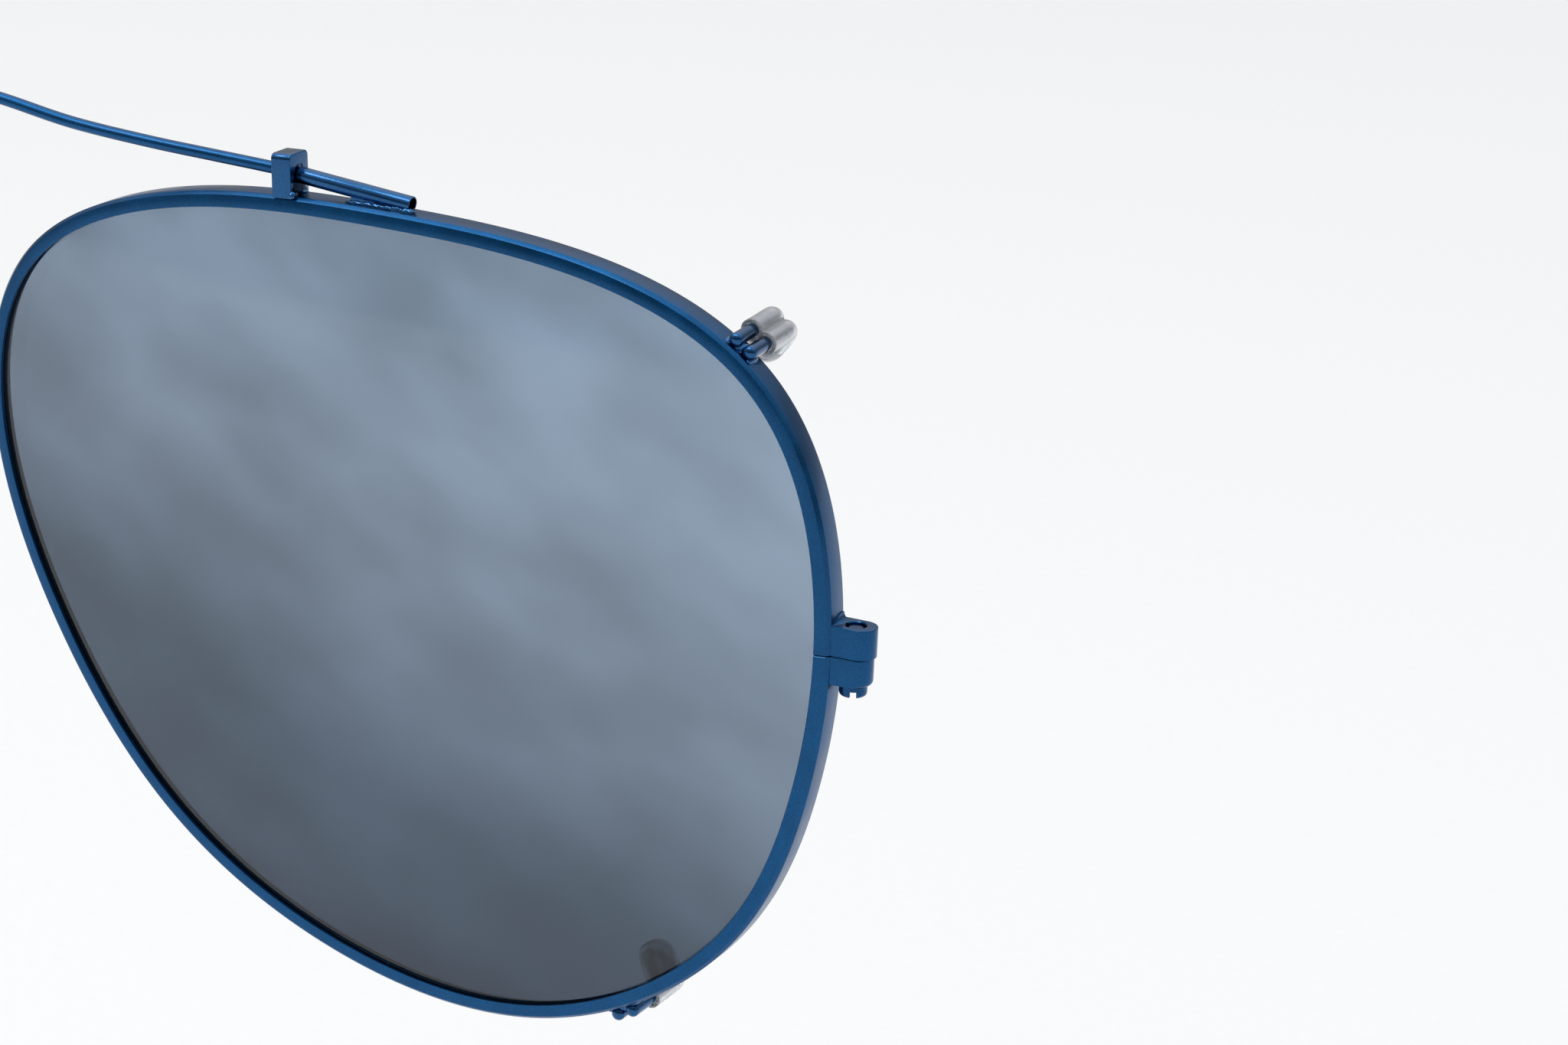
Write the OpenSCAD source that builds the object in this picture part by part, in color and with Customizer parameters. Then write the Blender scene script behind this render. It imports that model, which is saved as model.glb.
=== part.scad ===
// Clip-on flip lenses: two tinted lenses in split metal rims, hinged on one brow bar.
// Millimetres, as worn: +X to the wearer's left, +Y back towards the face, +Z up.
// The origin is the middle of the brow bar, on the plane of symmetry.

/* [Lens] */
// Radius of the sphere that the front of each lens is ground to
lens_radius = 130; // [90:5:200]
// Thickness of the lens
lens_thick = 1.4; // [1:0.1:1.8]
// How far the lens edge reaches into the groove of its rim
lens_edge = 0.45; // [0.3:0.05:0.6]

/* [Rim] */
// Width of the rim, seen from the front
rim_wide = 0.95; // [0.8:0.05:1.4]
// Height of the rim's front lip over the lens
rim_lip = 0.3; // [0.2:0.05:0.5]
// Depth of the rim, front to back
rim_deep = 1.9; // [1.7:0.1:2.4]
// Bevel along the rim's outer front edge
rim_bevel = 0.2; // [0.1:0.05:0.3]
// Width of the saw cut through the rim at the closing block
rim_cut = 0.05; // [0.05:0.05:0.2]

/* [Layout] */
// Distance from the plane of symmetry to the middle of a lens
lens_out = 36; // [33:0.5:39]
// Distance of the middle of a lens below the middle of the bar
lens_down = 29.45; // [28:0.05:31]
// Distance of the middle of a lens ahead of the middle of the bar
lens_ahead = 0.4; // [0:0.1:1]
// Angle at which each lens turns back round the face
wrap = 5; // [3:1:7]

/* [Closing block] */
// How far the upper half of the block stands out from the rim
block_upper_out = 2.35; // [2.2:0.05:2.8]
// How far the lower half of the block stands out from the rim
block_lower_out = 2.2; // [2.2:0.05:2.8]
// Height of the upper half of the block
block_upper_high = 1.8; // [1.5:0.05:2.2]
// Height of the lower half of the block
block_lower_high = 1.7; // [1.4:0.05:2]
// Depth of the block, front to back
block_deep = 2.0; // [1.8:0.1:2.4]
// Distance of the closing screw's middle from the rim
screw_out = 1.05; // [1:0.05:1.2]
// Nominal diameter of the closing screw
screw_d = 1.2; // [1:0.1:1.4]
// Diameter of the screw's head
screw_head_d = 1.65; // [1.5:0.05:1.9]
// Height of the screw's head
screw_head_h = 0.7; // [0.4:0.05:0.8]
// Width of the slot in the screw's head
screw_slot = 0.36; // [0.25:0.01:0.45]
// Turn of the slot from front to back, in degrees
slot_turn = 25; // [0:5:90]

/* [Bar and hinge] */
// Diameter of the brow bar
bar_d = 0.75; // [0.7:0.05:0.9]
// Diameter of the turned end of the bar, on which the lens swings
journal_d = 0.65; // [0.55:0.05:0.65]
// Gap round the turned end, in the tube and in the strap
journal_gap = 0.03; // [0.02:0.01:0.05]
// Outside diameter of the hinge tube
tube_d = 1.0; // [0.95:0.05:1.1]
// Length of the hinge tube
tube_long = 7.7; // [7:0.1:8.5]
// Diameter of the riveted head on the end of the bar
rivet_d = 0.78; // [0.76:0.01:0.8]
// Angle at which the hinge line falls towards the temple
hinge_fall = 8; // [7:0.1:9]
// Width of the guide strap
strap_wide = 1.3; // [1.2:0.1:1.4]

/* [Prongs] */
// Diameter of the wire that each prong is bent from
wire_d = 0.86; // [0.7:0.02:0.9]
// Distance between the middles of the prong's two wires
wire_pitch = 1.08; // [1:0.02:1.2]
// Length of the straight run of the prong, from the front of the rim
prong_run = 5.0; // [4.5:0.1:6]
// Angle at which the prong leans along the rim
prong_lean = 2.5; // [0:0.5:5]
// Radius of the prong's bend, at the middle of the wire
prong_bend = 0.8; // [0.75:0.05:1]
// Length of the prong's tip behind the frame it holds
prong_tip = 0.8; // [0.6:0.1:1.5]
// Wall of the clear sleeve on the prong
sleeve_wall = 0.23; // [0.15:0.01:0.25]
// Bare length of the prong ahead of its sleeve
prong_bare = 2.35; // [1.8:0.05:2.6]

/* [Hidden] */
// Control points of the pilot-shaped opening, as a closed cubic B-spline: outward and up
opening_points = [
    [28.75, 5], [25.25, 17], [14, 22.5], [0, 23.75], [-14, 24], [-27.5, 19.5], [-29, 8],
    [-23.5, -4], [-16, -15], [-5, -22], [9, -25.5], [22, -19], [27, -8]
];
opening_count = len(opening_points);
steps_per_point = 8;

// Places along the opening, counted in control points from the temple, upwards
closing_at = 12.71;
upper_prong_at = 1.21;
lower_prong_at = 10.45;
bracket_from = 2.87;
bracket_to = 3.15;
bracket_steps = 3;

// Points that the bar runs through on its left half, from the middle to the strap
bar_route = [
    [0, 0, 0], [4.5, 0.1, -0.25], [9, 0.4, -0.9], [14, 0.85, -1.9], [19.5, 1.3, -2.55], [24, 1.7, -2.95]
];
bar_sides = 10;
bar_steps = 6;

// Hinge line in the lens's own frame: depth, and height at the middle of the lens
hinge_deep = 3.1;
hinge_up = 25.1;
journal_from = -7.3;
strap_from = -7.05;
strap_top = 27.25;
strap_foot = 24.6;
strap_corner = 0.35;
strap_deep = 2.05;
tube_from = -5.7;
tube_to = tube_from + tube_long * cos(hinge_fall);
rivet_long = 0.5;
rivet_inside = 0.9;
counterbore_long = rivet_inside + rivet_long + 0.1;
bracket_deep = 0.7;

groove_gap = 0.05;
solder = 0.1;
wire_gap = 0.03;
wire_sunk = 0.05;
block_back = 0.2;
thread_gap = 0.02;
clearance_gap = 0.06;
screw_short = 0.15;
$fn = 48;

// ---- The opening and its rim, as functions of the place along the opening ----

function opening_point(i) = opening_points[(i + opening_count) % opening_count];

// Weighted sum of the four control points that rule the curve near place t
function blend_points(t, w) =
    let (i = floor(t))
    w[0] * opening_point(i - 1) + w[1] * opening_point(i)
    + w[2] * opening_point(i + 1) + w[3] * opening_point(i + 2);

function opening(t) =
    let (x = t - floor(t))
    blend_points(t, [
        (1 - x) ^ 3, 3 * x ^ 3 - 6 * x ^ 2 + 4, -3 * x ^ 3 + 3 * x ^ 2 + 3 * x + 1, x ^ 3
    ] / 6);

function opening_heading(t) =
    let (x = t - floor(t))
    blend_points(t, [-(1 - x) ^ 2, 3 * x ^ 2 - 4 * x, -3 * x ^ 2 + 2 * x + 1, x ^ 2] / 2);

// Unit vector that points out of the opening, square to its edge
function outward(t) =
    let (h = opening_heading(t))
    [h[1], -h[0]] / norm(h);

// Point in the lens's frame, r outside the opening and d behind the lens's front
function on_rim(t, r, d) =
    let (p = opening(t) + r * outward(t))
    [p[0], lens_sag(p) + d, p[1]];

// Depth of the lens's front sphere behind its middle
function lens_sag(p) = lens_radius - sqrt(lens_radius ^ 2 - p[0] ^ 2 - p[1] ^ 2);

// The C-shaped section of the rim: distance outside the opening, and depth
rim_back = rim_deep - rim_lip;
groove_deep = lens_edge + groove_gap;
rim_section = [
    [0, -rim_lip], [rim_wide - rim_bevel, -rim_lip], [rim_wide, rim_bevel - rim_lip],
    [rim_wide, rim_back], [0, rim_back], [0, lens_thick + groove_gap],
    [groove_deep, lens_thick + groove_gap], [groove_deep, -groove_gap], [0, -groove_gap]
];

// The section as triangles, for the two ends of the rim at the saw cut
rim_end_faces = [[0, 1, 8], [1, 7, 8], [1, 2, 7], [2, 3, 7], [3, 6, 7], [3, 4, 6], [4, 5, 6]];

// Half of the saw cut, as a distance along the opening's own count
cut_step = rim_cut / 2 / norm(opening_heading(closing_at));

// Side faces of a swept body whose rings each hold count points, and its two end faces
function sweep_sides(rings, count) = [
    for (i = [0 : rings - 2], j = [0 : count - 1], half = [0, 1])
        let (a = i * count + j, b = i * count + (j + 1) % count)
        half == 0 ? [a, a + count, b] : [b, a + count, b + count]
];
function sweep_ends(rings, count, end_faces) = concat(
    end_faces,
    [for (f = end_faces) [for (j = [len(f) - 1 : -1 : 0]) (rings - 1) * count + f[j]]]
);

module on_left_side() {
    translate([lens_out, -lens_ahead, -lens_down]) rotate([0, 0, wrap]) children();
}

module on_right_side() {
    mirror([1, 0, 0]) on_left_side() children();
}

// Puts a child's X axis square out of the rim at place t, its Y axis to the back
module out_of_rim(t) {
    v = outward(t);
    translate(on_rim(t, rim_wide, 0)) rotate([0, -atan2(v[1], v[0]), 0]) children();
}

// Puts a child's Z axis on the hinge line, pointing to the temple, at a place across the lens
module on_hinge(across) {
    translate([across, hinge_deep, hinge_up - across * tan(hinge_fall)])
        rotate([0, 90 + hinge_fall, 0]) children();
}

// ---- Lens and rim ----

module rim() {
    first = closing_at + cut_step;
    last = closing_at + opening_count - cut_step;
    rings = opening_count * steps_per_point + 1;
    points = [
        for (i = [0 : rings - 1], s = rim_section)
            on_rim(first + (last - first) * i / (rings - 1), s[0], s[1])
    ];
    count = len(rim_section);
    color("#0a4a86")
        polyhedron(
            points,
            concat(sweep_sides(rings, count), sweep_ends(rings, count, rim_end_faces)),
            convexity = 6
        );
}

module lens_blank(grow) {
    places = [for (i = [0 : opening_count * steps_per_point - 1]) i / steps_per_point];
    rotate([90, 0, 0])
        translate([0, 0, -12])
            linear_extrude(14)
                polygon([for (t = places) opening(t) + grow * outward(t)]);
}

module lens() {
    color([0.36, 0.42, 0.5, 0.8])
        difference() {
            intersection() {
                lens_blank(lens_edge);
                translate([0, lens_radius, 0]) sphere(lens_radius, $fn = 240);
            }
            translate([0, lens_radius + lens_thick, 0]) sphere(lens_radius, $fn = 240);
        }
}

// ---- Closing block and screw, built about the cut with Z along the rim ----

block_front = block_back - rim_lip;
block_middle = block_front + block_deep / 2;

module block_plan(out, hole_d) {
    end = out - block_deep / 2;
    difference() {
        union() {
            translate([-solder, block_front]) square([end + solder, block_deep]);
            translate([end, block_middle]) circle(d = block_deep);
        }
        translate([screw_out, block_middle]) circle(d = hole_d);
    }
}

module block_upper() {
    color("#0a4a86")
        out_of_rim(closing_at)
            translate([0, 0, rim_cut / 2])
                linear_extrude(block_upper_high) block_plan(block_upper_out, screw_d + 2 * thread_gap);
}

module block_lower() {
    color("#0a4a86")
        out_of_rim(closing_at)
            translate([0, 0, -rim_cut / 2 - block_lower_high])
                linear_extrude(block_lower_high) block_plan(block_lower_out, screw_d + 2 * clearance_gap);
}

module closing_screw() {
    under_head = -rim_cut / 2 - block_lower_high;
    shank_long = block_upper_high + rim_cut + block_lower_high - screw_short;
    color("#123f6e")
        out_of_rim(closing_at)
            translate([screw_out, block_middle, under_head])
                difference() {
                    union() {
                        cylinder(d = screw_d, h = shank_long);
                        translate([0, 0, -screw_head_h]) cylinder(d = screw_head_d, h = screw_head_h);
                    }
                    rotate(slot_turn)
                        translate([-screw_slot / 2, -screw_head_d, -2 * screw_head_h])
                            cube([screw_slot, 2 * screw_head_d, 1.5 * screw_head_h]);
                }
}

// ---- Hinge: strap, tube and bracket ----

module guide_strap() {
    half = strap_deep / 2;
    slot = journal_d + 2 * journal_gap;
    roof = hinge_up - strap_from * tan(hinge_fall) + journal_d / 2 + 2 * journal_gap;
    color("#0a4a86")
        translate([strap_from, hinge_deep, 0])
            rotate([90, 0, 90])
                linear_extrude(strap_wide)
                    difference() {
                        union() {
                            translate([-half, strap_foot])
                                square([strap_deep, strap_top - strap_corner - strap_foot]);
                            translate([-half + strap_corner, strap_foot])
                                square([strap_deep - 2 * strap_corner, strap_top - strap_foot]);
                            for (side = [-1, 1])
                                translate([side * (half - strap_corner), strap_top - strap_corner])
                                    circle(strap_corner);
                        }
                        translate([-slot / 2, strap_foot - 1]) square([slot, roof - strap_foot + 1]);
                    }
}

module hinge_tube() {
    color("#0a4a86")
        on_hinge(tube_from)
            difference() {
                cylinder(d = tube_d, h = tube_long);
                translate([0, 0, -1]) cylinder(d = journal_d + 2 * journal_gap, h = tube_long + 2);
                translate([0, 0, tube_long - counterbore_long])
                    cylinder(d = rivet_d + 2 * journal_gap, h = counterbore_long + 1);
            }
}

module tube_bracket() {
    foot = [
        for (i = [0 : bracket_steps])
            let (t = bracket_from + (bracket_to - bracket_from) * i / bracket_steps)
            opening(t) + (rim_wide - solder) * outward(t)
    ];
    first = foot[0];
    last = foot[len(foot) - 1];
    color("#0a4a86")
        difference() {
            translate([0, hinge_deep + bracket_deep / 2, 0])
                rotate([90, 0, 0])
                    linear_extrude(bracket_deep)
                        polygon(concat(foot, [
                            [last[0], hinge_up - last[0] * tan(hinge_fall)],
                            [first[0], hinge_up - first[0] * tan(hinge_fall)]
                        ]));
            on_hinge(tube_from) translate([0, 0, -1]) cylinder(d = tube_d, h = tube_long + 2);
        }
}

// ---- Prongs: a hairpin of wire that runs back and hooks in, with a clear sleeve ----
// Built with X out of the rim, Y to the back and Z along the rim.

wire_out = wire_d / 2 - wire_sunk;

module on_prong(t) {
    out_of_rim(t) rotate([prong_lean, 0, 0]) children();
}

// Section of two round wires side by side
module pair_section(d) {
    for (side = [-1, 1])
        translate([0, side * wire_pitch / 2]) circle(d = d);
}

// Section with flat sides that goes round both wires
module sleeve_section(d) {
    pair_section(d);
    square([d, wire_pitch], center = true);
}

// The prong's straight run from a depth, its bend and its tip, with the child as section
module along_prong(from, tip) {
    translate([wire_out, from, 0])
        rotate([-90, 0, 0]) linear_extrude(prong_run - from) children();
    translate([wire_out - prong_bend, prong_run, 0])
        rotate_extrude(angle = 90) translate([prong_bend, 0]) children();
    translate([wire_out - prong_bend, prong_run + prong_bend, 0])
        rotate([0, -90, 0]) linear_extrude(tip) rotate(90) children();
}

// The turn that joins the two wires at the prong's tip
module hairpin_turn(d) {
    translate([wire_out - prong_bend - prong_tip, prong_run + prong_bend, 0])
        rotate([90, -90, 0])
            rotate_extrude(angle = 180) translate([wire_pitch / 2, 0]) circle(d = d);
}

module prong(t) {
    color("#0a3d75")
        on_prong(t) {
            along_prong(0, prong_tip) pair_section(wire_d);
            hairpin_turn(wire_d - wire_gap);
        }
}

module sleeve(t) {
    bore_d = wire_d + 2 * wire_gap;
    bore_tip = prong_tip + (wire_pitch + bore_d) / 2;
    color([0.85, 0.9, 0.95, 0.5])
        on_prong(t)
            difference() {
                along_prong(prong_bare, bore_tip + sleeve_wall) sleeve_section(bore_d + 2 * sleeve_wall);
                along_prong(prong_bare - 1, bore_tip) sleeve_section(bore_d);
            }
}

// ---- Brow bar ----

// A point of the lens's frame in the frame of the whole part
function to_part(p) = [
    lens_out + p[0] * cos(wrap) - p[1] * sin(wrap),
    p[0] * sin(wrap) + p[1] * cos(wrap) - lens_ahead,
    p[2] - lens_down
];
function hinge_point(across) = to_part([across, hinge_deep, hinge_up - across * tan(hinge_fall)]);

half_route = concat(bar_route, [hinge_point(journal_from), hinge_point(tube_from)]);
full_route = [
    for (i = [-(len(half_route) - 1) : len(half_route) - 1])
        let (p = half_route[abs(i)])
        [i < 0 ? -p[0] : p[0], p[1], p[2]]
];

// Point on the smooth curve through the route, x of the way from point i to the next
function route_point(i, x) =
    let (a = full_route[i - 1], b = full_route[i], c = full_route[i + 1], d = full_route[i + 2])
    (2 * b + (c - a) * x + (2 * a - 5 * b + 4 * c - d) * x ^ 2 + (3 * b - a - 3 * c + d) * x ^ 3) / 2;

module bar_wire() {
    spans = len(full_route) - 3;
    rings = spans * bar_steps + 1;
    centres = [
        for (k = [0 : rings - 1])
            k == rings - 1 ? full_route[len(full_route) - 2]
            : route_point(1 + floor(k / bar_steps), (k % bar_steps) / bar_steps)
    ];
    points = [
        for (k = [0 : rings - 1])
            let (
                ahead = centres[min(k + 1, rings - 1)] - centres[max(k - 1, 0)],
                side = cross([0, 0, 1], ahead / norm(ahead)),
                x = side / norm(side),
                z = cross(ahead / norm(ahead), x)
            )
            for (j = [0 : bar_sides - 1])
                centres[k] + bar_d / 2 * (x * cos(360 * j / bar_sides) + z * sin(360 * j / bar_sides))
    ];
    end_face = [[for (j = [0 : bar_sides - 1]) j]];
    polyhedron(
        points,
        concat(sweep_sides(rings, bar_sides), sweep_ends(rings, bar_sides, end_face)),
        convexity = 4
    );
}

// The turned end of the bar, from its shoulder to the riveted head
module bar_journal() {
    journal_long = (tube_to - journal_from) / cos(hinge_fall) - rivet_inside;
    on_hinge(journal_from) {
        translate([0, 0, -0.3]) cylinder(d = journal_d, h = journal_long + 0.3);
        translate([0, 0, journal_long - rivet_long]) cylinder(d = rivet_d, h = rivet_long);
    }
}

module brow_bar() {
    color("#0a4a86") {
        bar_wire();
        on_left_side() bar_journal();
        on_right_side() bar_journal();
    }
}

brow_bar();
on_left_side() rim();  // left_rim
on_left_side() lens();  // left_lens
on_left_side() block_upper();  // left_block_upper
on_left_side() block_lower();  // left_block_lower
on_left_side() closing_screw();  // left_closing_screw
on_left_side() guide_strap();  // left_guide_strap
on_left_side() hinge_tube();  // left_hinge_tube
on_left_side() tube_bracket();  // left_tube_bracket
on_left_side() prong(upper_prong_at);  // left_upper_prong
on_left_side() sleeve(upper_prong_at);  // left_upper_sleeve
on_left_side() prong(lower_prong_at);  // left_lower_prong
on_left_side() sleeve(lower_prong_at);  // left_lower_sleeve
on_right_side() rim();  // right_rim
on_right_side() lens();  // right_lens
on_right_side() block_upper();  // right_block_upper
on_right_side() block_lower();  // right_block_lower
on_right_side() closing_screw();  // right_closing_screw
on_right_side() guide_strap();  // right_guide_strap
on_right_side() hinge_tube();  // right_hinge_tube
on_right_side() tube_bracket();  // right_tube_bracket
on_right_side() prong(upper_prong_at);  // right_upper_prong
on_right_side() sleeve(upper_prong_at);  // right_upper_sleeve
on_right_side() prong(lower_prong_at);  // right_lower_prong
on_right_side() sleeve(lower_prong_at);  // right_lower_sleeve
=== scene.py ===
import math

import bmesh
import bpy
from mathutils import Matrix, Vector, noise


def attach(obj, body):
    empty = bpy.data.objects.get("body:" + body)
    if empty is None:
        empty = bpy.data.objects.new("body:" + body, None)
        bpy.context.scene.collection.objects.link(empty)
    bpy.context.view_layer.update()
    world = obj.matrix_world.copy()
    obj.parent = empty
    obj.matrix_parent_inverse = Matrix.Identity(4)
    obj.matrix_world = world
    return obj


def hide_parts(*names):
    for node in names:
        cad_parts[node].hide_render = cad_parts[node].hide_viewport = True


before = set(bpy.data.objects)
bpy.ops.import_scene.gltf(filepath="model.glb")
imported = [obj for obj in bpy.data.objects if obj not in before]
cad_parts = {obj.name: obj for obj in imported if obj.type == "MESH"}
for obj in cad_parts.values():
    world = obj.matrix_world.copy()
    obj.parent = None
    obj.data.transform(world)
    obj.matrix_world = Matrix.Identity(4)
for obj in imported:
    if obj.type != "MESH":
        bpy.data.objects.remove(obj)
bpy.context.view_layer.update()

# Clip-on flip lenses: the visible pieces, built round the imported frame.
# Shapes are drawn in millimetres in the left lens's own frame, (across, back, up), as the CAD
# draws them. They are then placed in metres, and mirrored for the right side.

MM = 0.001

# ---- Driving dimensions, in millimetres and degrees, the same as the CAD's ----

LENS_RADIUS, LENS_THICK, LENS_EDGE = 130, 1.4, 0.45
RIM_WIDE, RIM_LIP, RIM_DEEP, RIM_BEVEL, RIM_CUT = 0.95, 0.3, 1.9, 0.2, 0.05
RIM_BACK = RIM_DEEP - RIM_LIP
GROOVE_GAP = 0.05
LENS_OUT, LENS_DOWN, LENS_AHEAD, WRAP = 36, 29.45, 0.4, math.radians(5)

BLOCK_UPPER_OUT, BLOCK_LOWER_OUT, BLOCK_DEEP = 2.35, 2.2, 2.0
BLOCK_UPPER_HIGH, BLOCK_LOWER_HIGH = 1.8, 1.7
BLOCK_FRONT = 0.2 - RIM_LIP
BLOCK_MIDDLE = BLOCK_FRONT + BLOCK_DEEP / 2
SCREW_OUT, SCREW_D, SCREW_HEAD_D, SCREW_HEAD_H, SCREW_SLOT = 1.05, 1.2, 1.65, 0.7, 0.36
SLOT_TURN = math.radians(25)

BAR_D, JOURNAL_D, JOURNAL_GAP, RIVET_D = 0.75, 0.65, 0.03, 0.78
TUBE_D, TUBE_LONG = 1.0, 7.7
HINGE_FALL, HINGE_DEEP, HINGE_UP = math.radians(8), 3.1, 25.1
JOURNAL_FROM, TUBE_FROM = -7.3, -5.7
STRAP_FROM, STRAP_WIDE, STRAP_TOP, STRAP_FOOT, STRAP_DEEP = -7.05, 1.3, 27.25, 24.6, 2.05
BRACKET_DEEP, BRACKET_FROM, BRACKET_TO = 0.7, 2.87, 3.15
RIVET_LONG, RIVET_INSIDE = 0.5, 0.9
BAR_ROUTE = [
    (0, 0, 0), (4.5, 0.1, -0.25), (9, 0.4, -0.9), (14, 0.85, -1.9), (19.5, 1.3, -2.55), (24, 1.7, -2.95)
]

WIRE_D, WIRE_PITCH, WIRE_GAP, WIRE_SUNK = 0.86, 1.08, 0.03, 0.05
PRONG_RUN, PRONG_BEND, PRONG_TIP, PRONG_BARE = 5.0, 0.8, 0.8, 2.35
PRONG_LEAN = math.radians(2.5)
SLEEVE_WALL = 0.23
WIRE_OUT = WIRE_D / 2 - WIRE_SUNK

CLOSING_AT, UPPER_PRONG_AT, LOWER_PRONG_AT = 12.71, 1.21, 10.45
OPENING = [
    (28.75, 5), (25.25, 17), (14, 22.5), (0, 23.75), (-14, 24), (-27.5, 19.5), (-29, 8),
    (-23.5, -4), (-16, -15), (-5, -22), (9, -25.5), (22, -19), (27, -8)
]

SIDES = (("left", 1), ("right", -1))


# ---- The opening and its rim, as functions of the place along the opening ----

def blend_points(t, weights):
    first = math.floor(t) - 1
    points = [Vector(OPENING[(first + k) % len(OPENING)]) for k in range(4)]
    return sum((p * w for p, w in zip(points, weights)), Vector((0, 0)))


def opening(t):
    x = t - math.floor(t)
    weights = ((1 - x) ** 3, 3 * x**3 - 6 * x**2 + 4, -3 * x**3 + 3 * x**2 + 3 * x + 1, x**3)
    return blend_points(t, weights) / 6


def opening_heading(t):
    x = t - math.floor(t)
    return blend_points(t, (-(1 - x) ** 2, 3 * x**2 - 4 * x, -3 * x**2 + 2 * x + 1, x**2)) / 2


def outward(t):
    heading = opening_heading(t).normalized()
    return Vector((heading.y, -heading.x))


def lens_sag(p):
    return LENS_RADIUS - math.sqrt(LENS_RADIUS**2 - p.x**2 - p.y**2)


def on_rim(t, out, deep):
    """Point in the lens's frame, out of the opening and behind the lens's front."""
    p = opening(t) + outward(t) * out
    return Vector((p.x, lens_sag(p) + deep, p.y))


def out_of_rim(t):
    """Frame with X out of the rim, Y to the back and Z along the rim."""
    v = outward(t)
    axes = Matrix(((v.x, 0, -v.y), (0, 1, 0), (v.y, 0, v.x)))
    return Matrix.Translation(on_rim(t, RIM_WIDE, 0)) @ axes.to_4x4()


def on_prong(t):
    return out_of_rim(t) @ Matrix.Rotation(PRONG_LEAN, 4, "X")


def on_hinge(across):
    """Frame with Z on the hinge line, pointing to the temple, and X down."""
    c, s = math.cos(HINGE_FALL), math.sin(HINGE_FALL)
    axes = Matrix(((-s, 0, c), (0, 1, 0), (-c, 0, -s)))
    place = Vector((across, HINGE_DEEP, HINGE_UP - across * math.tan(HINGE_FALL)))
    return Matrix.Translation(place) @ axes.to_4x4()


LENS_PLACE = Matrix.Translation((LENS_OUT, -LENS_AHEAD, -LENS_DOWN)) @ Matrix.Rotation(WRAP, 4, "Z")


# ---- Outlines and meshes ----

def rounded(corners, steps=4):
    """Closed outline through corners (x, y, radius), each corner an arc of its radius."""
    outline = []
    for i, (x, y, radius) in enumerate(corners):
        corner = Vector((x, y))
        back = (Vector(corners[i - 1][:2]) - corner).normalized()
        ahead = (Vector(corners[(i + 1) % len(corners)][:2]) - corner).normalized()
        if radius == 0:
            outline.append(corner)
            continue
        half = back.angle(ahead) / 2
        centre = corner + (back + ahead).normalized() * radius / math.sin(half)
        start = corner + back * radius / math.tan(half) - centre
        end = corner + ahead * radius / math.tan(half) - centre
        turn = start.angle(end)
        for k in range(steps + 1):
            f = k / steps
            way = start * math.sin((1 - f) * turn) + end * math.sin(f * turn)
            outline.append(centre + way / math.sin(turn))
    return outline


def area(outline):
    return sum(a.x * b.y - b.x * a.y for a, b in zip(outline, outline[1:] + outline[:1])) / 2


def inset(outline, by):
    """The outline moved inwards, each point along the mean of its two edges' normals."""
    turn = 1 if area(outline) > 0 else -1
    moved = []
    for i, p in enumerate(outline):
        a = (p - outline[i - 1]).normalized()
        b = (outline[(i + 1) % len(outline)] - p).normalized()
        normal = Vector((-(a.y + b.y), a.x + b.x)) * turn
        share = max(1 + a.dot(b), 0.6)
        moved.append(p + normal * by / share)
    return moved


def loft(bm, rings, along=False):
    """Adds faces through closed rings of points. along joins the last ring to the first."""
    rows = [[bm.verts.new(p) for p in ring] for ring in rings]
    pairs = list(zip(rows, rows[1:] + rows[:1]))
    for a, b in pairs if along else pairs[:-1]:
        for j in range(len(a)):
            k = (j + 1) % len(a)
            bm.faces.new((a[j], a[k], b[k], b[j]))
    return rows


def capped(bm, rings):
    rows = loft(bm, rings)
    bm.faces.new(rows[0])
    bm.faces.new(rows[-1])
    return rows


def prism_rings(outline, low, high, edge_low, edge_high, steps=3):
    """Rings up a prism whose two end edges are rounded."""
    rings = []
    for k in range(steps + 1):
        a = math.pi / 2 * k / steps
        rings.append((inset(outline, edge_low * (1 - math.sin(a))), low + edge_low * (1 - math.cos(a))))
    for k in range(steps, -1, -1):
        a = math.pi / 2 * k / steps
        rings.append((inset(outline, edge_high * (1 - math.sin(a))), high - edge_high * (1 - math.cos(a))))
    return [[Vector((p.x, p.y, z)) for p in points] for points, z in rings]


def spin(bm, profile, sides, along=True):
    """Turns a profile of (radius, height) about Z."""
    turns = [2 * math.pi * k / sides for k in range(sides)]
    rings = [[Vector((p.x * math.cos(a), p.x * math.sin(a), p.y)) for a in turns] for p in profile]
    return loft(bm, rings, along)


def circle(radius, sides):
    turns = [2 * math.pi * k / sides for k in range(sides)]
    return [Vector((radius * math.cos(a), radius * math.sin(a))) for a in turns]


def wire_rings(path, radii, sides):
    """Rings round a path, turned as little as possible from one to the next."""
    rings = []
    side = None
    for i, point in enumerate(path):
        ahead = (path[min(i + 1, len(path) - 1)] - path[max(i - 1, 0)]).normalized()
        side = ahead.orthogonal() if side is None else side - ahead * side.dot(ahead)
        side.normalize()
        other = ahead.cross(side)
        rings.append([point + side * p.x + other * p.y for p in circle(radii[i], sides)])
    return rings


def dome(radius, long, steps):
    """(distance from the end, radius) up a rounded end."""
    turns = [math.pi / 2 * (k + 0.35) / (steps + 0.35) for k in range(steps + 1)]
    return [(long * (1 - math.cos(a)), radius * math.sin(a)) for a in turns]


def smooth_step(x):
    x = min(max(x, 0), 1)
    return x * x * (3 - 2 * x)


# ---- Materials ----

def new_material(name):
    material = bpy.data.materials.new(name)
    material.use_nodes = True
    tree = material.node_tree
    return material, tree, tree.nodes["Principled BSDF"]


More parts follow.
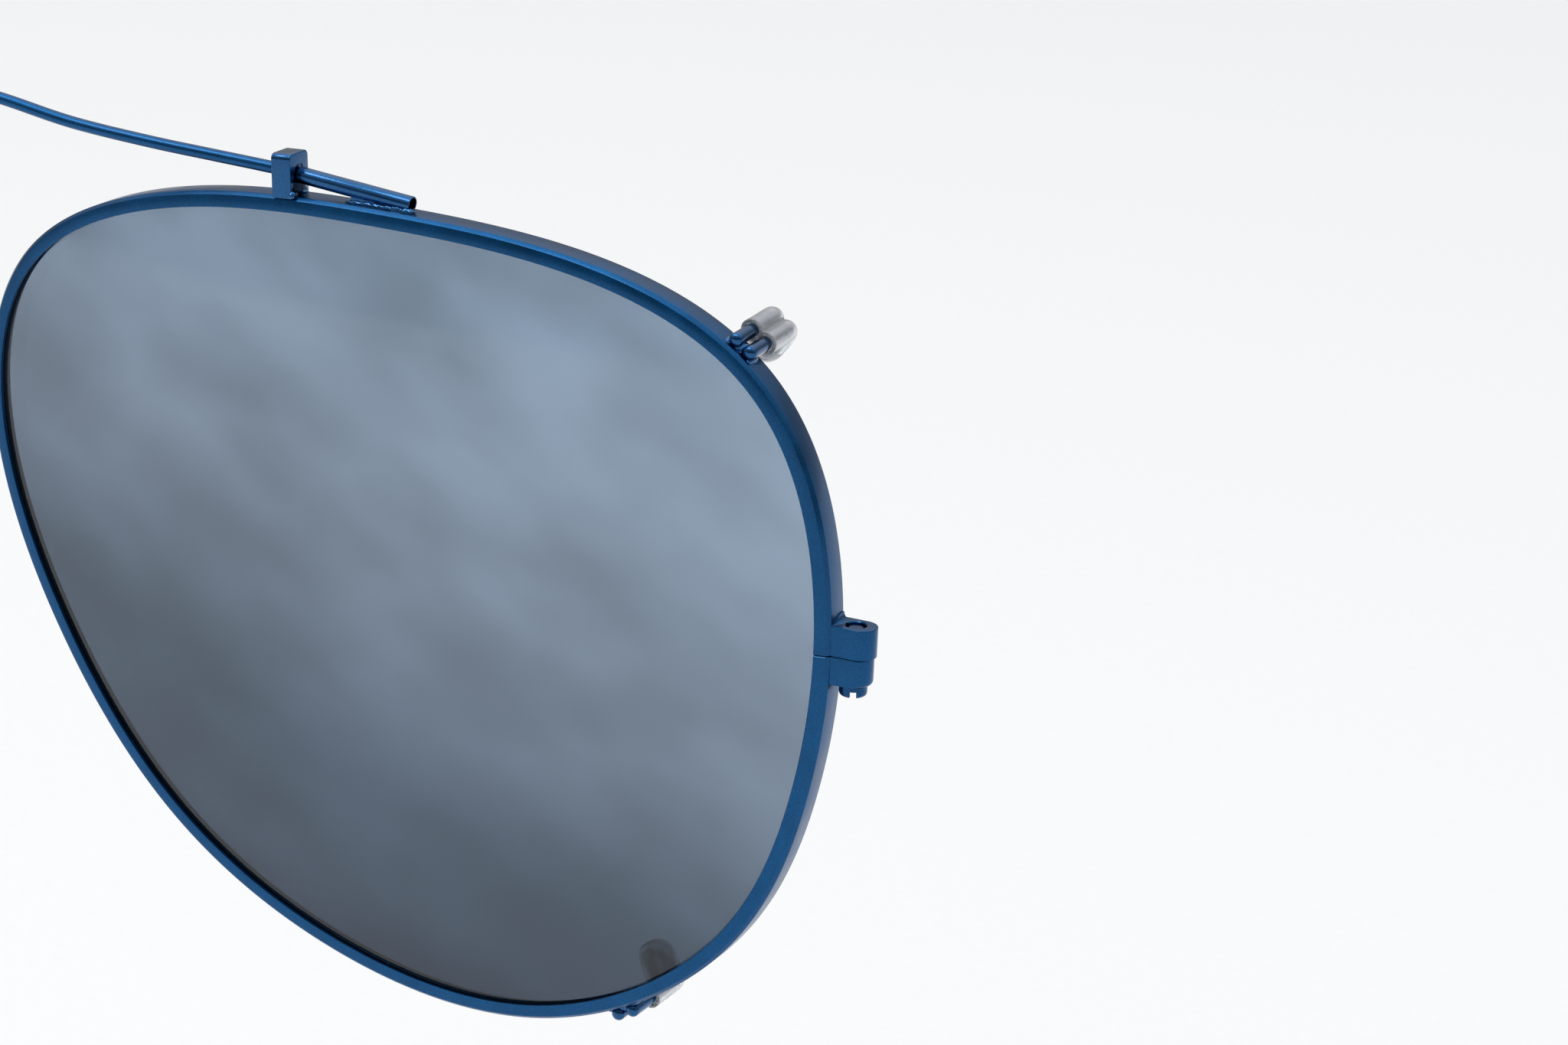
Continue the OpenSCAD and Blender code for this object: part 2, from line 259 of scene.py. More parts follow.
def node(tree, kind, inputs=(), **settings):
    """A new node, with its settings, and its inputs set to values or linked to sockets."""
    made = tree.nodes.new(kind)
    for key, value in settings.items():
        setattr(made, key, value)
    for key, value in dict(inputs).items():
        if isinstance(value, bpy.types.NodeSocket):
            tree.links.new(value, made.inputs[key])
        else:
            made.inputs[key].default_value = value
    return made


def millimetres(tree):
    """The piece's own coordinates, in millimetres."""
    coordinates = node(tree, "ShaderNodeTexCoord").outputs["Object"]
    scaled = node(tree, "ShaderNodeVectorMath", {0: coordinates, "Scale": 1 / MM}, operation="SCALE")
    return scaled.outputs[0]


def noise_of(tree, place, per_mm, detail=3.0, stretch=None):
    if stretch:
        place = node(tree, "ShaderNodeVectorMath", {0: place, 1: stretch}, operation="MULTIPLY").outputs[0]
    made = node(tree, "ShaderNodeTexNoise", {"Vector": place, "Scale": per_mm, "Detail": detail})
    return made.outputs["Fac"]


def ramp(tree, factor, stops):
    made = node(tree, "ShaderNodeValToRGB", {"Fac": factor})
    elements = made.color_ramp.elements
    while len(elements) < len(stops):
        elements.new(0.5)
    for element, (place, colour) in zip(elements, stops):
        element.position = place
        element.color = (*colour, 1) if len(colour) == 3 else colour
    return made.outputs["Color"]


def grey(value):
    return (value, value, value)


def mapped(tree, factor, low, high, start=0.3, end=0.7):
    made = node(tree, "ShaderNodeMapRange", {
        "Value": factor, "From Min": start, "From Max": end, "To Min": low, "To Max": high
    })
    return made.outputs["Result"]


def multiply(tree, a, b):
    return node(tree, "ShaderNodeMath", {0: a, 1: b}, operation="MULTIPLY").outputs[0]


def mixed(tree, factor, a, b, blend_type="MIX"):
    made = tree.nodes.new("ShaderNodeMix")
    made.data_type = "RGBA"
    made.blend_type = blend_type
    for key, value in ((0, factor), (6, a), (7, b)):
        if isinstance(value, bpy.types.NodeSocket):
            tree.links.new(value, made.inputs[key])
        else:
            made.inputs[key].default_value = value
    return made.outputs[2]


def bumped(tree, shader, height, strength, deep_mm):
    made = node(tree, "ShaderNodeBump", {"Height": height, "Strength": strength, "Distance": deep_mm * MM})
    tree.links.new(made.outputs["Normal"], shader.inputs["Normal"])


def blue_coating(name, dark, light, rough, coat=0.25, grain=14.0, lumps=0.0):
    """Satin blue coating on metal, with a fine speckle, cloudy patches and a faint orange peel."""
    material, tree, shader = new_material(name)
    place = millimetres(tree)
    speckle = noise_of(tree, place, grain, 2.0)
    clouds = noise_of(tree, place, 0.55, 3.0)
    colour = ramp(tree, speckle, ((0.34, dark), (0.66, light)))
    shade = ramp(tree, clouds, ((0.3, grey(0.82)), (0.7, grey(1.0))))
    tree.links.new(mixed(tree, 1.0, colour, shade, "MULTIPLY"), shader.inputs["Base Color"])
    tree.links.new(mapped(tree, clouds, rough - 0.04, rough + 0.06), shader.inputs["Roughness"])
    peel = noise_of(tree, place, 6.0 if lumps else 9.0, 2.0)
    bumped(tree, shader, peel, 0.3 + lumps, 0.01)
    shader.inputs["Metallic"].default_value = 1.0
    shader.inputs["Coat Weight"].default_value = coat
    shader.inputs["Coat Roughness"].default_value = 0.14
    shader.inputs["Coat IOR"].default_value = 1.5
    return material


def lens_tint_and_reflections():
    """Grey sun tint with painted reflections of the room: darker towards the bottom, with soft cloudy
    patches.
    """
    material, tree, shader = new_material("lens_tint_and_reflections")
    place = millimetres(tree)
    parts = node(tree, "ShaderNodeSeparateXYZ", {0: place})
    across = node(tree, "ShaderNodeMath", {0: parts.outputs["X"]}, operation="ABSOLUTE").outputs[0]
    # painted reflection: the tint fades from dark at the bottom by the nose to light at the top by the
    # temple, as the room's dim low reflection
    lean = 0.4
    inputs = {0: across, 1: lean, 2: parts.outputs["Z"]}
    slope = node(tree, "ShaderNodeMath", inputs, operation="MULTIPLY_ADD").outputs[0]
    middle = lean * LENS_OUT - LENS_DOWN
    painted_reflection_fade = mapped(tree, slope, 0.0, 1.0, middle - 24, middle + 22)
    tint_and_reflection = ramp(tree, painted_reflection_fade, (
        (0.0, (0.034, 0.056, 0.094)), (0.3, (0.075, 0.112, 0.165)), (0.6, (0.205, 0.270, 0.360)),
        (1.0, (0.300, 0.395, 0.515))
    ))
    # painted reflection: soft cloudy light and dark patches, the room reflected in the lens
    inputs = {"Vector": place, "Angle": math.radians(-30)}
    turned = node(tree, "ShaderNodeVectorRotate", inputs, rotation_type="Y_AXIS")
    clouds = noise_of(tree, turned.outputs[0], 0.07, 2.5, (1.0, 1.0, 2.0))
    painted_reflection_patches = ramp(tree, clouds, ((0.36, grey(0.7)), (0.64, grey(1.0))))
    grain = noise_of(tree, place, 7.0, 2.0)
    speckle = ramp(tree, grain, ((0.3, grey(0.985)), (0.7, grey(1.0))))
    colour = mixed(tree, 1.0, mixed(tree, 1.0, tint_and_reflection, painted_reflection_patches, "MULTIPLY"), speckle, "MULTIPLY")
    tree.links.new(colour, shader.inputs["Base Color"])
    smears = noise_of(tree, place, 0.12, 1.0, (1.0, 1.0, 3.0))
    tree.links.new(mapped(tree, smears, 0.05, 0.09), shader.inputs["Roughness"])
    bumped(tree, shader, noise_of(tree, place, 0.05, 0.0), 0.05, 0.02)
    shader.inputs["Transmission Weight"].default_value = 0.95
    shader.inputs["IOR"].default_value = 1.5
    return material


def clear_vinyl():
    """Clear soft tubing, a little milky and wavy."""
    material, tree, shader = new_material("clear_vinyl")
    place = millimetres(tree)
    haze = noise_of(tree, place, 1.6, 3.0)
    colour = ramp(tree, haze, ((0.3, (0.80, 0.84, 0.90)), (0.7, (0.93, 0.95, 0.98))))
    tree.links.new(colour, shader.inputs["Base Color"])
    tree.links.new(mapped(tree, haze, 0.08, 0.2), shader.inputs["Roughness"])
    bumped(tree, shader, noise_of(tree, place, 2.5, 2.0), 0.3, 0.02)
    shader.inputs["Transmission Weight"].default_value = 0.88
    shader.inputs["IOR"].default_value = 1.42
    return material


def bare_wire():
    """Drawn nickel silver, with faint lines along it."""
    material, tree, shader = new_material("bare_wire")
    place = millimetres(tree)
    lines = noise_of(tree, place, 6.0, 3.0, (1.0, 0.12, 1.0))
    colour = ramp(tree, lines, ((0.3, grey(0.36)), (0.7, (0.60, 0.60, 0.63))))
    tree.links.new(colour, shader.inputs["Base Color"])
    tree.links.new(mapped(tree, lines, 0.24, 0.4), shader.inputs["Roughness"])
    bumped(tree, shader, lines, 0.25, 0.01)
    shader.inputs["Metallic"].default_value = 1.0
    return material


def floor_paper():
    material, tree, shader = new_material("floor_paper")
    place = millimetres(tree)
    fibres = noise_of(tree, place, 0.8, 4.0)
    colour = ramp(tree, fibres, ((0.3, grey(0.855)), (0.7, grey(0.865))))
    tree.links.new(colour, shader.inputs["Base Color"])
    tree.links.new(mapped(tree, fibres, 0.75, 0.9), shader.inputs["Roughness"])
    bumped(tree, shader, fibres, 0.1, 0.05)
    shader.inputs["Specular IOR Level"].default_value = 0.2
    return material


MATERIALS = {
    "rim_blue": blue_coating("rim_coating", (0.003, 0.062, 0.175), (0.006, 0.092, 0.255), 0.34),
    "bar_blue": blue_coating("bar_coating", (0.004, 0.065, 0.185), (0.007, 0.095, 0.265), 0.30),
    "fitting_blue": blue_coating(
        "fitting_coating", (0.003, 0.062, 0.180), (0.008, 0.105, 0.290), 0.22, coat=0.5
    ),
    "solder_blue": blue_coating(
        "solder_coating", (0.006, 0.090, 0.250), (0.012, 0.120, 0.300), 0.16, coat=0.6, grain=9.0, lumps=0.2
    ),
    "screw_blue": blue_coating("screw_coating", (0.003, 0.050, 0.140), (0.005, 0.075, 0.210), 0.28),
    "lens_grey": lens_tint_and_reflections(),
    "sleeve_clear": clear_vinyl(),
    "bare_wire": bare_wire(),
}


# ---- Making pieces ----

def mark_sharp(bm, degrees):
    for edge in bm.edges:
        edge.smooth = len(edge.link_faces) == 2 and edge.calc_face_angle(0) < math.radians(degrees)
    for face in bm.faces:
        face.smooth = True


def add_piece(name, bm, body, materials, replaced=()):
    mesh = bpy.data.meshes.new(name)
    bm.to_mesh(mesh)
    bm.free()
    for material in materials:
        mesh.materials.append(MATERIALS[material])
    piece = bpy.data.objects.new(name, mesh)
    bpy.context.scene.collection.objects.link(piece)
    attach(piece, body)
    if replaced:
        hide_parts(*replaced)
    return piece


def add_pair(part, bm, slot, materials=None, node_name=None, sharp=40):
    """The same piece on both sides. It stands for the CAD node of that name, if there is one."""
    bmesh.ops.recalc_face_normals(bm, faces=bm.faces)
    mark_sharp(bm, sharp)
    for side, sign in SIDES:
        copy = bm.copy()
        copy.transform(Matrix.Diagonal((sign * MM, MM, MM, 1)) @ LENS_PLACE)
        if sign < 0:
            bmesh.ops.reverse_faces(copy, faces=copy.faces)
        replaced = [f"{side}_{node_name}"] if node_name else []
        add_piece(f"{side}_{part}", copy, f"{side}_lens_unit", materials or [slot], replaced)
    bm.free()


# ---- Rim and lens ----

def add_rims():
    groove = LENS_EDGE + GROOVE_GAP
    section = rounded([
        (0, -RIM_LIP, 0.07), (RIM_WIDE - RIM_BEVEL, -RIM_LIP, 0.05), (RIM_WIDE, RIM_BEVEL - RIM_LIP, 0.05),
        (RIM_WIDE, RIM_BACK, 0.16), (0, RIM_BACK, 0.1), (0, LENS_THICK + GROOVE_GAP, 0.02),
        (groove, LENS_THICK + GROOVE_GAP, 0.02), (groove, -GROOVE_GAP, 0.02), (0, -GROOVE_GAP, 0.02)
    ], 3)
    cut = RIM_CUT / 2 / opening_heading(CLOSING_AT).length
    first, last = CLOSING_AT + cut, CLOSING_AT + len(OPENING) - cut
    edge = 0.03
    step = edge / opening_heading(CLOSING_AT).length
    count = 26 * len(OPENING)
    places = [first + step + (last - first - 2 * step) * i / count for i in range(count + 1)]
    trimmed = inset(section, edge)
    rings = [[on_rim(first, p.x, p.y) for p in trimmed]]
    rings += [[on_rim(t, p.x, p.y) for p in section] for t in places]
    rings += [[on_rim(last, p.x, p.y) for p in trimmed]]
    bm = bmesh.new()
    capped(bm, rings)
    add_pair("eyewire", bm, "rim_blue", node_name="rim", sharp=28)


def add_lenses():
    places = [i / 16 for i in range(16 * len(OPENING))]
    edge = [opening(t) + outward(t) * LENS_EDGE for t in places]
    shares = [1 - 0.992 * (k / 26) for k in range(27)]

    def front(p, share):
        p = p * share
        return Vector((p.x, lens_sag(p), p.y))

    def back(p, share):
        return front(p, share) + Vector((0, LENS_THICK, 0))

    bm = bmesh.new()
    rings = [[front(p, s) for p in edge] for s in reversed(shares)]
    rings += [[back(p, s) for p in edge] for s in shares]
    capped(bm, rings)
    add_pair("lens_blank", bm, "lens_grey", node_name="lens", sharp=50)


# ---- Closing block and screw ----

def block_outline(out):
    """Plan of a block, from the rim to its round end, as seen along the rim."""
    end = out - BLOCK_DEEP / 2
    low, high = BLOCK_FRONT, BLOCK_FRONT + BLOCK_DEEP
    flat = 12
    points = [Vector((-0.1 + (end + 0.1) * k / flat, low)) for k in range(flat)]
    arc = 36
    for k in range(arc + 1):
        a = -math.pi / 2 + math.pi * k / arc
        x, y = end + BLOCK_DEEP / 2 * math.cos(a), BLOCK_MIDDLE + BLOCK_DEEP / 2 * math.sin(a)
        points.append(Vector((x, y)))
    points += [Vector((end - (end + 0.1) * k / flat, high)) for k in range(1, flat + 1)]
    points += [Vector((-0.1, high - BLOCK_DEEP * k / flat)) for k in range(1, flat)]
    return points


def add_block(part, out, low, high, hole_d, edges, foot_round):
    """One half of the closing block. edges are the roundings of its lower and upper end."""
    centre = Vector((SCREW_OUT, BLOCK_MIDDLE))
    outline = block_outline(out)
    rings = []
    steps = 5

    def rounding(p, most):
        # the outer end is rounded more than the rest
        return most + foot_round * smooth_step((p.x - SCREW_OUT) / (out - SCREW_OUT))

    for k in range(steps + 1):
        a = math.pi / 2 * k / steps
        ring = []
        for p in outline:
            r = rounding(p, edges[0])
            q = p + (centre - p).normalized() * r * (1 - math.sin(a))
            ring.append(Vector((q.x, q.y, low + r * (1 - math.cos(a)))))
        rings.append(ring)
    for k in range(steps, -1, -1):
        a = math.pi / 2 * k / steps
        r = edges[1]
        ring = [p + (centre - p).normalized() * r * (1 - math.sin(a)) for p in outline]
        rings.append([Vector((p.x, p.y, high - r * (1 - math.cos(a)))) for p in ring])
    hole = hole_d / 2
    for r, z in ((hole + 0.06, high), (hole, high - 0.06), (hole, low + 0.03), (hole + 0.03, low)):
        ring = [centre + (p - centre).normalized() * r for p in outline]
        rings.append([Vector((p.x, p.y, z)) for p in ring])
    bm = bmesh.new()
    loft(bm, rings, along=True)
    bm.transform(out_of_rim(CLOSING_AT))
    add_pair(part, bm, "rim_blue", node_name=part, sharp=32)


def add_blocks():
    half_cut = RIM_CUT / 2
    top, under = half_cut + BLOCK_UPPER_HIGH, -half_cut - BLOCK_LOWER_HIGH
    add_block("block_upper", BLOCK_UPPER_OUT, half_cut, top, SCREW_D + 0.04, (0.03, 0.055), 0)
    add_block("block_lower", BLOCK_LOWER_OUT, under, -half_cut, SCREW_D + 0.12, (0.08, 0.04), 0.24)


def add_block_fillets():
    """Solder fillets in the corners between the rim's side and the two ends of the block."""
    for part, height, up in (
        ("fillet_upper", RIM_CUT / 2 + BLOCK_UPPER_HIGH, 1),
        ("fillet_lower", -RIM_CUT / 2 - BLOCK_LOWER_HIGH, -1),
    ):
        size = 0.45 if up > 0 else 0.3
        arc = [math.pi / 2 * k / 8 for k in range(9)]
        rings = []
        count = 14
        for i in range(count + 1):
            f = i / count
            s = 0.05 + (size - 0.05) * smooth_step(1.4 * f)
            y = BLOCK_FRONT + 0.06 + (RIM_BACK - 0.1 - BLOCK_FRONT - 0.06) * f
            hollow = [(s * (1 - math.sin(a)), s * (1 - math.cos(a))) for a in arc]
            points = [(-0.12, -0.05), (s, -0.05), *hollow, (-0.12, s)]
            rings.append([Vector((x, y, height + up * z)) for x, z in points])
        bm = bmesh.new()
        capped(bm, rings)
        bm.transform(out_of_rim(CLOSING_AT))
        add_pair(part, bm, "rim_blue", sharp=50)


def add_screws():
    under = -RIM_CUT / 2 - BLOCK_LOWER_HIGH
    top = RIM_CUT / 2 + BLOCK_UPPER_HIGH - 0.15
    head = SCREW_HEAD_D / 2
    slot_deep = 0.42
    foot = under - SCREW_HEAD_H
    place = out_of_rim(CLOSING_AT) @ Matrix.Translation((SCREW_OUT, BLOCK_MIDDLE, 0))
    place = place @ Matrix.Rotation(SLOT_TURN, 4, "Z")
    bm = bmesh.new()
    shank = SCREW_D / 2
    turns = 7
    pitch = 0.25
    profile = [Vector((0.02, top)), Vector((shank - 0.19, top)), Vector((shank - 0.14, top - 0.05))]
    for k in range(turns):
        z = top - 0.1 - pitch * k
        profile += [Vector((shank - 0.13, z))]
        profile += [Vector((shank, z - pitch * 0.45)), Vector((shank, z - pitch * 0.55))]
    profile += [Vector((shank, under)), Vector((head - 0.05, under)), Vector((head, under - 0.05))]
    profile += [Vector((head, foot + slot_deep)), Vector((0.02, foot + slot_deep))]
    rows = spin(bm, profile, 64, along=False)
    bm.faces.new(rows[0])
    bm.faces.new(rows[-1])
    half_slot = SCREW_SLOT / 2
    reach = math.acos(half_slot / head)
    for side in (1, -1):
        arc = [Vector((side * head * math.cos(a), head * math.sin(a)))
               for a in [-reach + 2 * reach * k / 30 for k in range(31)]]
        chord = [Vector((side * half_slot, arc[-1].y * (1 - 2 * k / 10))) for k in range(1, 10)]
        outline = arc + chord
        crown = []
        steps = 5
        for k in range(steps + 1):
            a = math.pi / 2 * k / steps
            ring = []
            for p in outline:
                # the rim of the head is rounded, the edges of the slot only broken
                r = 0.03 + 0.22 * smooth_step((p.length - 0.5 * head) / (0.5 * head))
                q = p - p.normalized() * r * (1 - math.sin(a))
                wall = half_slot + 0.03 * (1 - math.sin(a))
                ring.append(Vector((side * max(abs(q.x), wall), q.y, foot + r * (1 - math.cos(a)))))
            crown.append(ring)
        root = foot + slot_deep + 0.01
        capped(bm, crown + [[Vector((p.x, p.y, root)) for p in outline]])
    bm.transform(place)
    add_pair("slotted_screw", bm, "screw_blue", node_name="closing_screw", sharp=30)


# ---- Strap, tube and bracket ----

def add_straps():
    half, slot = STRAP_DEEP / 2, JOURNAL_D / 2 + JOURNAL_GAP
    roof = HINGE_UP - STRAP_FROM * math.tan(HINGE_FALL) + JOURNAL_D / 2 + 2 * JOURNAL_GAP
    outline = rounded([
        (-half, STRAP_FOOT, 0.02), (-slot, STRAP_FOOT, 0.02), (-slot, roof, 0.16), (slot, roof, 0.16),
        (slot, STRAP_FOOT, 0.02), (half, STRAP_FOOT, 0.02),
        (half, STRAP_TOP, 0.35), (-half, STRAP_TOP, 0.35)
    ], 8)
    rings = prism_rings(outline, STRAP_FROM, STRAP_FROM + STRAP_WIDE, 0.07, 0.07)
    bm = bmesh.new()
    capped(bm, rings)
    # the prism's X is the lens's depth, its Y the height and its Z the way across
    bm.transform(Matrix(((0, 0, 1, 0), (1, 0, 0, HINGE_DEEP), (0, 1, 0, 0), (0, 0, 0, 1))))
    add_pair("strap_loop", bm, "fitting_blue", node_name="guide_strap", sharp=32)


def add_tubes():
    outer, bore, counterbore = TUBE_D / 2, JOURNAL_D / 2 + JOURNAL_GAP, RIVET_D / 2 + JOURNAL_GAP
    step = TUBE_LONG - RIVET_INSIDE - RIVET_LONG - 0.1
    profile = rounded([
        (bore, 0, 0.03), (outer, 0, 0.07), (outer, TUBE_LONG, 0.035), (counterbore, TUBE_LONG, 0.03),
        (counterbore, step, 0.01), (bore, step, 0.01)
    ], 4)
    bm = bmesh.new()
    spin(bm, profile, 64)
    bm.transform(on_hinge(TUBE_FROM))
    add_pair("tube_barrel", bm, "fitting_blue", node_name="hinge_tube", sharp=40)


def bracket_foot(steps, deep):
    places = [BRACKET_FROM + (BRACKET_TO - BRACKET_FROM) * k / steps for k in range(steps + 1)]
    return [opening(t) + outward(t) * (RIM_WIDE - deep) for t in places]


def add_brackets():
    foot = bracket_foot(24, 0.1)
    # the plate's straight upper edge runs just under the hinge line
    below_hinge = 0.28
    top = [Vector((p.x, HINGE_UP - p.x * math.tan(HINGE_FALL) - below_hinge)) for p in reversed(foot)]
    front, back = HINGE_DEEP - BRACKET_DEEP / 2, HINGE_DEEP + BRACKET_DEEP / 2
    rings = prism_rings(foot + top, front, back, 0.05, 0.05)
    bm = bmesh.new()
    capped(bm, rings)
    bm.transform(Matrix(((1, 0, 0, 0), (0, 0, 1, 0), (0, 1, 0, 0), (0, 0, 0, 1))))
    add_pair("bracket_plate", bm, "fitting_blue", node_name="tube_bracket", sharp=40)


# ---- Solder ----

def bead(bm, centre, radii, seed, place=Matrix()):
    """A rounded, slightly lumpy bead of solder."""
    made = bmesh.ops.create_icosphere(bm, subdivisions=4, radius=1)
    for vert in made["verts"]:
        lump = noise.noise(vert.co * 1.3 + Vector((seed, 0, 0)))
        co = vert.co * (1 + 0.16 * lump)
        vert.co = place @ (Vector(centre) + Vector((co.x * radii[0], co.y * radii[1], co.z * radii[2])))


def add_solder():
    strap_end = STRAP_FROM + STRAP_WIDE
    front = HINGE_DEEP - STRAP_DEEP / 2
    bm = bmesh.new()
    weld = STRAP_FOOT + 0.14
    bead(bm, (strap_end, front + 0.24, weld + 0.06), (0.26, 0.3, 0.26), 1)
    bead(bm, (strap_end - 0.1, front + 1.6, weld + 0.02), (0.22, 0.35, 0.16), 2)
    bead(bm, (STRAP_FROM + 0.02, front + 0.4, weld), (0.14, 0.3, 0.12), 3)
    add_pair("strap_solder", bm, "fitting_blue", ["solder_blue"], sharp=80)

    bm = bmesh.new()
    foot = bracket_foot(16, 0.0)
    count = len(foot) - 1
    for k, p in enumerate(foot):
        # the seam swells towards the temple end
        f = 1 - k / count
        size = 0.16 + 0.1 * f + 0.03 * math.sin(2.3 * k)
        bead(bm, (p.x, HINGE_DEEP - BRACKET_DEEP / 2, p.y + 0.02), (0.34, size, size), 10 + k)
    add_pair("bracket_solder", bm, "fitting_blue", ["solder_blue"], sharp=80)

    for part, t in (("upper_prong_solder", UPPER_PRONG_AT), ("lower_prong_solder", LOWER_PRONG_AT)):
        bm = bmesh.new()
        place = on_prong(t)
        reach = WIRE_PITCH / 2 + WIRE_D / 2
        for k, (x, y, z, a, b, c) in enumerate((
            (0.05, 0.75, 0, 0.36, 0.62, 0.34), (0.0, 0.62, reach - 0.14, 0.2, 0.62, 0.26),
            (0.0, 0.62, -reach + 0.14, 0.2, 0.62, 0.26), (0.12, 0.36, 0.2, 0.22, 0.26, 0.2),
        )):
            bead(bm, (x, y, z), (a, b, c), 40 + k, place)
        add_pair(part, bm, "fitting_blue", ["solder_blue"], sharp=80)


# ---- Prongs and sleeves ----

def prong_path(start):
    """Middle line of the prong from a depth to the end of its tip: (point, way out of the hook)."""
    path = []
    straight = 16
    for k in range(straight):
        path.append((Vector((WIRE_OUT, start + (PRONG_RUN - start) * k / straight, 0)), Vector((1, 0, 0))))
    bend = 14
    centre = Vector((WIRE_OUT - PRONG_BEND, PRONG_RUN, 0))
    for k in range(bend + 1):
        a = math.pi / 2 * k / bend
        way = Vector((math.cos(a), math.sin(a), 0))
        path.append((centre + way * PRONG_BEND, way))
    for k in (0.5, 1):
        path.append((centre + Vector((-PRONG_TIP * k, PRONG_BEND, 0)), Vector((0, 1, 0))))
    return path


def add_prong(part, t):
    nose = dome(WIRE_D / 2, 0.3, 6)
    line = [p for p, _ in prong_path(nose[-1][0])]
    start = [Vector((WIRE_OUT, d, 0)) for d, _ in nose[:-1]]
    half = WIRE_PITCH / 2
    one = [p + Vector((0, 0, half)) for p in start + line]
    tip = line[-1]
    turn = [tip + Vector((-half * math.sin(a), 0, half * math.cos(a)))
            for a in [math.pi * k / 16 for k in range(1, 16)]]
    other = [Vector((p.x, p.y, -p.z)) for p in reversed(one)]
    path = one + turn + other
    ends = [r for _, r in nose[:-1]]
    radii = ends + [WIRE_D / 2] * (len(path) - 2 * len(ends)) + ends[::-1]
    bm = bmesh.new()
    capped(bm, wire_rings(path, radii, 28))
    for face in bm.faces:
        face.material_index = int(face.calc_center_median().y > PRONG_BARE + 0.35)
    bm.transform(on_prong(t))
    add_pair(f"{part}_wire", bm, "fitting_blue", ["fitting_blue", "bare_wire"], part, sharp=60)


def figure_eight(radius, grow=0.0):
    """Outline of two round lobes side by side, X out of the rim and Y along it."""
    half = WIRE_PITCH / 2
    reach = math.pi - math.acos(half / radius)
    r = radius + grow
    points = []
    lobe = 30
    for side in (1, -1):
        for k in range(lobe):
            a = -reach + 2 * reach * (k + 0.5) / lobe
            points.append(Vector((side * r * math.sin(a), side * (half + r * math.cos(a)))))
    return points


def add_sleeve(part, t):
    outer = WIRE_D / 2 + WIRE_GAP + SLEEVE_WALL
    bore = WIRE_D / 2 + WIRE_GAP
    path = prong_path(PRONG_BARE)
    tip, way = path[-1]
    reach = WIRE_PITCH / 2 + WIRE_D / 2 + WIRE_GAP + SLEEVE_WALL

    def ring(point, out, outline):
        return [point + out * p.x + Vector((0, 0, p.y)) for p in outline]

    lip = 0.05
    rings = []
    for k in range(4):
        a = math.pi / 2 * k / 3
        point = path[0][0] + Vector((0, lip * (1 - math.cos(a)), 0))
        rings.append(ring(point, path[0][1], figure_eight(outer, -lip * (1 - math.sin(a)))))
    rings += [ring(p, out, figure_eight(outer)) for p, out in path[1:]]
    closing = 10
    for k in range(1, closing + 1):
        a = math.pi / 2 * k / (closing + 0.4)
        share = math.cos(a) ** 0.7
        point = tip + Vector((-reach * math.sin(a), 0, 0))
        rings.append(ring(point, way, [p * share for p in figure_eight(outer)]))
    bm = bmesh.new()
    rows = loft(bm, rings)
    bm.faces.new(rows[-1])
    edges = [e for e in bm.edges if len(e.link_faces) == 1]
    for side in (1, -1):
        hole = [Vector((p.x, p.y + side * WIRE_PITCH / 2)) for p in circle(bore, 32)]
        wide = [Vector((p.x, p.y + side * WIRE_PITCH / 2)) for p in circle(bore + 0.03, 32)]
        lines = [ring(path[0][0], path[0][1], wide)]
        lines += [ring(path[0][0] + Vector((0, 0.03, 0)), path[0][1], hole)]
        lines += [ring(p, out, hole) for p, out in path[1:]]
        inner = loft(bm, lines)
        bm.faces.new(inner[-1])
        edges += [e for e in bm.edges if len(e.link_faces) == 1 and all(v in inner[0] for v in e.verts)]
    bmesh.ops.triangle_fill(bm, use_beauty=True, edges=edges)
    bm.transform(on_prong(t))
    add_pair(f"{part}_tubing", bm, "sleeve_clear", node_name=part, sharp=50)


# ---- Brow bar ----

def to_part(p):
    return LENS_PLACE @ Vector(p)


def hinge_point(across):
    return to_part((across, HINGE_DEEP, HINGE_UP - across * math.tan(HINGE_FALL)))


def bar_line(steps):
    """Middle line of the bar, from the right shoulder to the left one."""
    half = [Vector(p) for p in BAR_ROUTE] + [hinge_point(JOURNAL_FROM), hinge_point(TUBE_FROM)]
    whole = [Vector((-p.x, p.y, p.z)) for p in reversed(half[1:])] + half
    line = []
    for a, b, c, d in zip(whole, whole[1:], whole[2:], whole[3:]):
        for k in range(steps):
            x = k / steps
            bend, twist = 2 * a - 5 * b + 4 * c - d, 3 * b - a - 3 * c + d
            line.append((2 * b + (c - a) * x + bend * x**2 + twist * x**3) / 2)
    return line + [whole[-2]]


